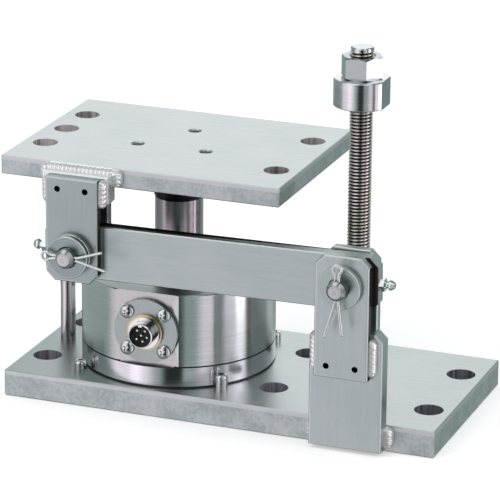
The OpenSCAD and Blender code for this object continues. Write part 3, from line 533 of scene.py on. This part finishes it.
def bead(bm, start, end, side_a, side_b, lean=1):
    """A bead from start to end in millimetres. Its two legs reach along side_a and side_b."""
    start, end, side_a, side_b = (Vector(place) for place in (start, end, side_a, side_b))
    run = end - start
    length = run.length
    round_end = min(side_a.length, side_b.length, length / 3)
    scales = max(2, round(length / scale_pitch))
    steps = scales * scale_steps
    rows = []
    for step in range(steps + 1):
        along = length * step / steps
        near = min(along, length - along) / round_end
        taper = math.sqrt(max(0.0, 1 - (1 - min(near, 1)) ** 2))
        corner = start + run * (along / length)
        row = [corner]
        for leg_step in range(leg_steps + 1):
            share = leg_step / leg_steps
            beat = (along / length * scales + lean * scale_bow * (2 * share - 1) ** 2) % 1
            dip = valley * (1 - math.sin(math.pi * min(beat * crest_rate, 1)) ** crest_power)
            swell = 1 - dip * math.sin(math.pi * share) ** toe_power
            turn = math.pi / 2 * share
            reach = side_a * math.cos(turn) ** bead_power + side_b * math.sin(turn) ** bead_power
            row.append(corner + reach * (blunt_end + (1 - blunt_end) * taper) * swell)
        rows.append([bm.verts.new(place * MM) for place in row])
    for near_row, far_row in zip(rows, rows[1:]):
        for this in range(leg_steps + 2):
            following = (this + 1) % (leg_steps + 2)
            bm.faces.new((near_row[this], near_row[following], far_row[following], far_row[this]))
    bm.faces.new(rows[0])
    bm.faces.new(rows[-1][::-1])


def weld_colours(at):
    heat = at.noise(180, 2.0)
    scale = at.noise(1500, 2.0)
    return {
        "Base Color": heat.between(0.42, 0.68).mixed((0.93, 0.94, 0.94), (0.89, 0.83, 0.84)),
        "Metallic": 0.7,
        "Roughness": scale * 0.14 + 0.24,
        "Normal": bumped(scale, 0.03 * MM),
    }


weld_steel = finish("weld_steel", weld_colours)
weld_smooth = 50


def low(node, axis):
    """The lowest place of a node along an axis, in millimetres."""
    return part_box(node)[0][axis] / MM


def high(node, axis):
    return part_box(node)[1][axis] / MM


ear_leg = 3.4
post_leg = ear_leg * 1.2
bead_end = 1.5
under_top = 2.5
short_of_edge = 0.5
front_of_plates = low("base_plate", 1)
base_top = high("base_plate", 2)
post_left, post_right = low("base_post", 0), high("base_post", 0)
post_foot, post_top = low("base_post", 2), high("base_post", 2)
ear_left, ear_right = low("base_front_ear", 0), high("base_front_ear", 0)
ear_back, ear_foot = high("base_front_ear", 1), low("base_front_ear", 2)

bm = bmesh.new()
for x, side in ((ear_left, -1), (ear_right, 1)):
    for y, out in ((ear_back, -1), (front_of_plates, 1)):
        bead(bm, (x, y, ear_foot + bead_end), (x, y, post_top - under_top),
             (side * ear_leg, 0, 0), (0, out * ear_leg, 0))
for x, side in ((post_left, -1), (post_right, 1)):
    bead(bm, (x, front_of_plates, post_foot), (x, front_of_plates, base_top - short_of_edge),
         (side * post_leg, 0, 0), (0, -post_leg, 0))
bead(bm, (post_left + bead_end, front_of_plates, base_top),
     (post_right - bead_end, front_of_plates, base_top), (0, ear_leg, 0), (0, 0, ear_leg))
base_beads = solid("base_bead_scales", bm, "root", weld_steel, weld_smooth)
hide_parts("base_weld_beads")


# Support rod and locating pins.
# Drawn bright bar let into the base plate, the rod with two spanner flats. The pins have domed
# heads with a blind hole and keep the load cell in its place.
drawn_steel = worked_steel("drawn_steel", (0.42, 0.38, 0.40), (0.74, 0.70, 0.72),
                           (300, 300, 12), 0.20, 0.01 * MM)
pin_steel = worked_steel("pin_steel", (0.62, 0.62, 0.62), (0.80, 0.80, 0.80),
                         (600, 600, 600), 0.22, 0.01 * MM)
dress("support_rod", drawn_steel)
dress("locating_pins", pin_steel)


# Lift stud.
# A length of M12 threaded rod of stainless steel. Its rolled thread has a pitch of 1.75 mm, and
# its upper end is turned plain and chamfered.
thread_pitch = 1.75
thread_depth = 1.05
end_chamfer = 0.7
plain_end = 1.6
plain_step = 0.1
# Place along one pitch, and height over the root as a share of the depth
thread_shape = [(0.00, 0.0), (0.18, 0.0), (0.44, 0.93), (0.50, 1.0), (0.64, 1.0), (0.70, 0.93)]
round_steps = 44
# Depths below the crests at which the thread is all painted shade, and all bright
shade_depth, bright_depth = 0.85, 0.25
end_fade = 0.1
thread_merge_gap = 0.01 * MM
thread_smooth = 35

stud_low, stud_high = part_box("lift_stud")
stud_x = (stud_low.x + stud_high.x) / 2 / MM
stud_r = (stud_high.x - stud_low.x) / 2 / MM
stud_foot, stud_top = stud_low.z / MM, stud_high.z / MM


def thread_radius(z, rise):
    """The stud's radius at a height, where the thread alone would rise to a share of its depth."""
    from_end = min(z - stud_foot, stud_top - z)
    if from_end < end_chamfer:
        return stud_r - end_chamfer + max(from_end, 0)
    if stud_top - z < plain_end:
        return stud_r - plain_step
    return stud_r - thread_depth * (1 - rise)


bm = bmesh.new()
turns = math.ceil((stud_top - stud_foot) / thread_pitch) + 1
threads = []
for step in range(-round_steps, turns * round_steps + 1):
    turn = 2 * math.pi * step / round_steps
    profile = []
    for place, rise in thread_shape:
        z = stud_foot + thread_pitch * (step / round_steps + place)
        r = thread_radius(z, rise)
        z = min(max(z, stud_foot), stud_top)
        profile.append(bm.verts.new(Vector((stud_x + r * math.cos(turn), r * math.sin(turn), z)) * MM))
    threads.append(profile)
for step, (now, after) in enumerate(zip(threads, threads[1:])):
    for point in range(len(thread_shape) - 1):
        bm.faces.new((now[point], after[point], after[point + 1], now[point + 1]))
    if step + 1 + round_steps < len(threads):
        next_now, next_after = threads[step + round_steps], threads[step + round_steps + 1]
        bm.faces.new((now[-1], after[-1], next_after[0], next_now[0]))
bmesh.ops.remove_doubles(bm, verts=bm.verts, dist=thread_merge_gap)
bmesh.ops.dissolve_degenerate(bm, edges=bm.edges, dist=thread_merge_gap)
bmesh.ops.holes_fill(bm, edges=[edge for edge in bm.edges if edge.is_boundary], sides=0)

# The thread's roots are painted near black as shade
root_shade, end_grey = (0.07, 0.06, 0.055), (0.60, 0.63, 0.64)
crest_pink, crest_straw = (0.78, 0.70, 0.69), (0.70, 0.68, 0.60)
plain_from = stud_top - plain_end


def thread_colours(at):
    rolled = at.stretched((900, 900, 2500)).noise(1.0, 2.0)
    x = at.part(0) - stud_x * MM
    y = at.part(1)
    out = (x * x + y * y).root().between((stud_r - shade_depth) * MM, (stud_r - bright_depth) * MM)
    end = at.part(2).between(plain_from * MM, (plain_from + end_fade) * MM)
    crest = at.noise(90, 2.0).between(0.40, 0.62).mixed(crest_pink, crest_straw)
    return {
        "Base Color": end.mixed(out.mixed(root_shade, crest), end_grey),
        "Metallic": 1.0,
        "Roughness": rolled * 0.10 + 0.10,
        "Normal": bumped(rolled, 0.01 * MM),
    }


stud = solid("stud_thread", bm, "root", finish("thread_steel", thread_colours),
             thread_smooth)
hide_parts("lift_stud")


# Stop collar and lock nut.
# The collar is turned from bar and milled with two spanner flats. The nut is a plain hexagon nut of
# bright steel that locks it on the stud.
# Near black, painted on the column's ends as shade
column_shade_black = (0.015, 0.015, 0.018)
shade_edge = 0.3 * MM
quarter_turn = 0.25


def turned_steel(name, dark, light, roughness, smear, shaded_ends=None):
    """Steel turned about an upright axis: its fine rings smear reflections up and down.

    Below the first and above the second of the heights given for its ends, it is painted black as shade."""

    def build(at):
        lines = at.stretched((20, 20, 1400)).noise(1.0, 3.0)
        clouds = at.noise(40, 2.0)
        colour = (lines * 0.5 + clouds * 0.5).between(0.35, 0.65).mixed(dark, light)
        if shaded_ends:
            over_foot, over_head = (at.part(2).between(z, z + shade_edge) for z in shaded_ends)
            colour = (over_foot - over_head).mixed(column_shade_black, colour)
        return {
            "Base Color": colour,
            "Metallic": 1.0,
            "Roughness": lines * 0.10 + (roughness - 0.05),
            "Normal": bumped(lines, 0.004 * MM),
        }

    return finish(name, build, Anisotropic=smear, **{"Anisotropic Rotation": quarter_turn})


collar_steel = turned_steel("collar_steel", (0.62, 0.62, 0.63), (0.73, 0.725, 0.74), 0.24, 0.8)
flat_steel = worked_steel("flat_steel", (0.22, 0.275, 0.27), (0.27, 0.325, 0.315),
                          (500, 500, 500), 0.25, 0.01 * MM)
nut_steel = worked_steel("nut_steel", (0.40, 0.45, 0.445), (0.47, 0.51, 0.505),
                         (300, 300, 900), 0.16, 0.005 * MM)
for face in dress("stop_collar", collar_steel, flat_steel).polygons:
    if abs(face.normal.x) > 0.999:
        face.material_index = 1
dress("lock_nut", nut_steel)


# Load cell.
# Base ring and housing are turned from stainless bar. A milled flat takes the connector. The joint
# line lies just above the base ring, and a narrow dark foot under it.
cell_steel = turned_steel("cell_steel", (0.58, 0.61, 0.61), (0.68, 0.69, 0.70), 0.20, 0.9)
ring_steel = turned_steel("ring_steel", (0.68, 0.68, 0.70), (0.80, 0.79, 0.82), 0.17, 0.85)
membrane_steel = turned_steel("membrane_steel", (0.58, 0.59, 0.59), (0.70, 0.71, 0.71), 0.3, 0.6)
milled_steel = worked_steel("milled_steel", (0.56, 0.55, 0.56), (0.65, 0.635, 0.645),
                            (900, 300, 60), 0.30, 0.01 * MM)
shadow_steel = worked_steel("shadow_steel", (0.05, 0.05, 0.05), (0.10, 0.10, 0.10),
                            (300, 300, 300), 0.5, 0.01 * MM)
# Darker colours for the housing's upward faces, as painted shade
shaded_lid_steel = worked_steel("shaded_lid_steel", (0.25, 0.29, 0.285), (0.31, 0.36, 0.35),
                         (300, 300, 300), 0.32, 0.01 * MM)
front_zone, joint_groove, narrow_foot = 1.1, 0.79, 1.01
milled_from = (low("cell_housing", 1) + front_zone) * MM
joint_groove_top = (low("cell_housing", 2) + joint_groove) * MM
narrow_foot_top = (base_top + narrow_foot) * MM

for face in dress("cell_housing", cell_steel, milled_steel, shadow_steel, shaded_lid_steel).polygons:
    if face.normal.y < -0.99 and face.center.y < milled_from:
        face.material_index = 1
    elif face.normal.z > 0.99:
        face.material_index = 3
    elif face.center.z < joint_groove_top:
        face.material_index = 2
for face in dress("cell_base_ring", ring_steel, shadow_steel).polygons:
    if face.center.z < narrow_foot_top or face.normal.z > 0.99:
        face.material_index = 1
dress("sensing_element", collar_steel)
dress("cover_membrane", membrane_steel)
dress("cell_screws", pin_steel)


def rubber_colours(at):
    fine = at.noise(1800, 2.0)
    return {
        "Base Color": at.noise(90, 2.0).mixed((0.012, 0.012, 0.012), (0.04, 0.04, 0.04)),
        "Roughness": fine * 0.2 + 0.45,
        "Normal": bumped(fine, 0.01 * MM),
    }


rubber = finish("seal_rubber", rubber_colours)
dress("cell_seal_ring", rubber)


# Gauges and circuit board inside the cell.
# Foil gauges glued under the element's web, and a ring of green laminate that turns their signal
# into a digital one. They are closed in by base ring and housing.
def foil_colours(at):
    grid = at.stretched((9000, 300, 300)).noise(1.0, 1.0)
    return {
        "Base Color": grid.between(0.42, 0.58).mixed((0.55, 0.30, 0.08), (0.70, 0.62, 0.50)),
        "Roughness": grid * 0.2 + 0.3,
        "Normal": bumped(grid, 0.01 * MM),
    }


def board_colours(at):
    track = at.noise(420, 0.0)
    copper = track.between(0.47, 0.53)
    return {
        "Base Color": copper.mixed((0.02, 0.16, 0.08), (0.05, 0.28, 0.14)),
        "Roughness": track * 0.1 + 0.3,
        "Normal": bumped(copper, 0.03 * MM),
    }


dress("strain_gauges", finish("gauge_foil", foil_colours))
dress("circuit_board", finish("board_laminate", board_colours))


# Connector.
# A round flange on a rubber gasket holds a chromed plug with six bright contacts in a black insert.
# Four pan head screws fix it to the cell's flat, and a gilt lock ring tightens the plug.
flange_steel = worked_steel("flange_steel", (0.38, 0.425, 0.415), (0.47, 0.515, 0.50),
                            (700, 700, 700), 0.32, 0.01 * MM)
screw_steel = worked_steel("screw_steel", (0.60, 0.60, 0.61), (0.78, 0.78, 0.79),
                           (400, 400, 400), 0.15, 0.004 * MM)


def chrome_colours(at):
    haze = at.noise(700, 2.0)
    return {
        "Base Color": haze.mixed((0.80, 0.80, 0.80), (0.90, 0.90, 0.89)),
        "Metallic": 1.0,
        "Roughness": haze * 0.08 + 0.06,
        "Normal": bumped(haze, 0.004 * MM),
    }


def gilt_colours(at):
    haze = at.noise(500, 2.0)
    return {
        "Base Color": haze.mixed((0.56, 0.43, 0.24), (0.74, 0.62, 0.42)),
        "Metallic": 1.0,
        "Roughness": haze * 0.12 + 0.14,
        "Normal": bumped(haze, 0.004 * MM),
    }


def insert_colours(at):
    fine = at.noise(2200, 2.0)
    return {
        "Base Color": at.noise(120, 2.0).mixed((0.008, 0.008, 0.008), (0.022, 0.022, 0.022)),
        "Roughness": fine * 0.2 + 0.42,
        "Normal": bumped(fine, 0.01 * MM),
    }


dress("connector_gasket", rubber)
dress("connector_flange", flange_steel)
dress("flange_screws", screw_steel)
dress("connector_shell", finish("connector_chrome", chrome_colours))
dress("connector_lock_ring", finish("gilt", gilt_colours))
dress("connector_insert", finish("insert_plastic", insert_colours))
dress("contact_pins", screw_steel)


# Rocker column and top pad.
# The column is ground and polished, with domed ends painted black as shade. The pad above it is near
# black, has a hollow seat and is screwed to the top plate.
# Heights over the housing and under the column's top where its ends turn to painted shade
foot_shade, head_shade = 5, 2.275
shaded_foot = (high("cell_housing", 2) + foot_shade) * MM
shaded_head = (high("rocker_column", 2) - head_shade) * MM
column_steel = turned_steel("column_steel", (0.34, 0.31, 0.33), (0.44, 0.40, 0.42), 0.24, 0.4,
                            (shaded_foot, shaded_head))
black_steel = turned_steel("pad_steel", (0.018, 0.018, 0.02), (0.03, 0.03, 0.032), 0.35, 0.4)
dress("rocker_column", column_steel)
dress("top_pad", black_steel)
dress("pad_screws", pin_steel)


# Top plate.
# The same stainless plate as below, but thinner. It has five bolt holes, two of them at its right
# end, and three small tapped holes for the pad's screws.
plate_steel = worked_steel("plate_steel", (0.50, 0.535, 0.53), (0.65, 0.675, 0.675),
                           (60, 700, 700), 0.36, 0.03 * MM)
top_bolts = [(x, y) for x in (-bolt_x, bolt_x) for y in (-bolt_y, bolt_y)] + [(-bolt_x, 0)]
# The top plate's bores get a lighter painted shade than the base plate's
dress_plate("top_plate", plate_steel, top_bolts, (0.14, 0.125, 0.13), (0.80, 0.76, 0.77))


# Upper bracket.
# A bright spacer is welded to the top plate's front edge and carries the two ears of the tie bar's
# left end. Ears and spacer have cut lower corners.
spacer_cut = 3.0
spacer_steel = flat_bar_steel("top_spacer", upright_grain, (0.72, 0.75, 0.745), (0.84, 0.86, 0.86),
                              low_cut=spacer_cut)
dress_flat("top_spacer", spacer_steel)
for node in ("top_front_ear", "top_rear_ear"):
    ear_steel = flat_bar_steel(node, upright_grain, (0.32, 0.385, 0.38), (0.40, 0.46, 0.45),
                               low_cut=ear_cut)
    dress_flat(node, ear_steel, node == "top_front_ear")

plate_leg = ear_leg * 1.3
spacer_leg = 4.5
past_spacer = 1.0
spacer_left, spacer_right = low("top_spacer", 0), high("top_spacer", 0)
spacer_top, spacer_foot = high("top_spacer", 2), low("top_spacer", 2)
plate_top, plate_under = high("top_plate", 2), low("top_plate", 2)
upper_left, upper_right = low("top_front_ear", 0), high("top_front_ear", 0)
upper_back, upper_top = high("top_front_ear", 1), high("top_front_ear", 2)
rear_ear_back = high("top_rear_ear", 1)

bm = bmesh.new()
bead(bm, (spacer_left - past_spacer, front_of_plates, spacer_top),
     (spacer_right + past_spacer, front_of_plates, spacer_top),
     (0, -spacer_leg, 0), (0, 0, plate_top - spacer_top), -1)
for x, side in ((spacer_left, -1), (spacer_right, 1)):
    bead(bm, (x, front_of_plates, plate_under + short_of_edge),
         (x, front_of_plates, plate_top - short_of_edge),
         (side * plate_leg, 0, 0), (0, -plate_leg, 0))
for x, side in ((upper_left, -1), (upper_right, 1)):
    bead(bm, (x, upper_back, spacer_foot + short_of_edge), (x, upper_back, upper_top - short_of_edge),
         (side * ear_leg, 0, 0), (0, -ear_leg, 0), -1)
bead(bm, (upper_left + bead_end, rear_ear_back, plate_under),
     (upper_right - bead_end, rear_ear_back, plate_under), (0, ear_leg, 0), (0, 0, -ear_leg))
top_beads = solid("top_bead_scales", bm, "top_plate", weld_steel, weld_smooth)
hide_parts("top_weld_beads")


# Tie bar.
# Flat bar, linished along its length, with cut corners, bronze bushes at both ends and a grease
# nipple screwed into each end. Its wide faces are painted dark with shade between the right ears.
def middle(node):
    corner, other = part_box(node)
    return (corner + other) / 2


bar_cut = 4.6
# How far left of the ears' right side the painted shade on the tie bar starts
shade_reach = 4.5
base_pin, top_pin = middle("base_clevis_pin"), middle("top_clevis_pin")
bar_slope = (base_pin.z - top_pin.z) / (base_pin.x - top_pin.x)
bar_steel = flat_bar_steel("tie_bar", (40, 500, 500), roughness=0.38, top_cut=bar_cut, low_cut=bar_cut,
                           slope=bar_slope, wear_and_highlight_width=2.2 * MM, bright=0.45,
                           shaded_past_x=(ear_right - shade_reach) * MM)
dress_flat("tie_bar", bar_steel)


def bronze_colours(at):
    grain = at.noise(1500, 3.0)
    return {
        "Base Color": grain.mixed((0.40, 0.27, 0.14), (0.62, 0.46, 0.28)),
        "Metallic": 1.0,
        "Roughness": grain * 0.2 + 0.3,
        "Normal": bumped(grain, 0.02 * MM),
    }


def zinc_colours(at):
    haze = at.noise(600, 2.0)
    return {
        "Base Color": haze.mixed((0.66, 0.74, 0.70), (0.84, 0.88, 0.85)),
        "Metallic": 1.0,
        "Roughness": haze * 0.10 + 0.12,
        "Normal": bumped(haze, 0.006 * MM),
    }


dress("bar_bushes", finish("bush_bronze", bronze_colours))
dress("grease_nipples", finish("nipple_zinc", zinc_colours))


# Clevis pins, washers and split pins.
# Headed pins turned from bright bar, two stamped washers on each, and a split pin of bent wire
# whose spread legs keep them on.
ring_scale = 1500
# The rims of washers and pin heads get a painted highlight
rim_highlight = (0.85, 0.86, 0.86)
rim_edge = 0.3 * MM


def lathe_steel(name, axis, dark, light, roughness, depth, rim_from):
    """Steel turned about an axis along Y through a point, with a painted highlight beyond the radius
    rim_from.
    """

    def build(at):
        x = at.part(0) - axis.x
        z = at.part(2) - axis.z
        away = (x * x + z * z).root()
        turned = away.node("ShaderNodeCombineXYZ", {}, {0: away * ring_scale, 1: at.part(1) * ring_scale})
        lines = turned.noise(1.0, 2.0)
        rim = away.between(rim_from, rim_from + rim_edge)
        return {
            "Base Color": (rim * 0.6).mixed(lines.between(0.35, 0.65).mixed(dark, light), rim_highlight),
            "Metallic": 1.0,
            "Roughness": lines * 0.12 + (roughness - 0.06),
            "Normal": bumped(lines, depth),
        }

    return finish(name, build)


washer_rim = 0.7 * MM
pin_dark, pin_light = (0.40, 0.42, 0.42), (0.52, 0.54, 0.54)
wire_steel = worked_steel("wire_steel", (0.80, 0.80, 0.79), (0.92, 0.92, 0.91),
                          (400, 400, 400), 0.38, 0.001 * MM)
for end, washer_dark, washer_light in (("base", (0.40, 0.46, 0.45), (0.46, 0.52, 0.51)),
                                       ("top", (0.28, 0.34, 0.33), (0.33, 0.39, 0.38))):
    pin, washers = f"{end}_clevis_pin", f"{end}_washers"
    axis = middle(washers)
    washer_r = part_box(washers)[1].x - axis.x
    dress(pin, lathe_steel(f"{end}_pin_steel", axis, pin_dark, pin_light, 0.24, 0.01 * MM, washer_r))
    dress(washers, lathe_steel(f"{end}_washer_steel", axis, washer_dark, washer_light,
                               0.36, 0.005 * MM, washer_r - washer_rim))
    dress(f"{end}_split_pin", wire_steel)
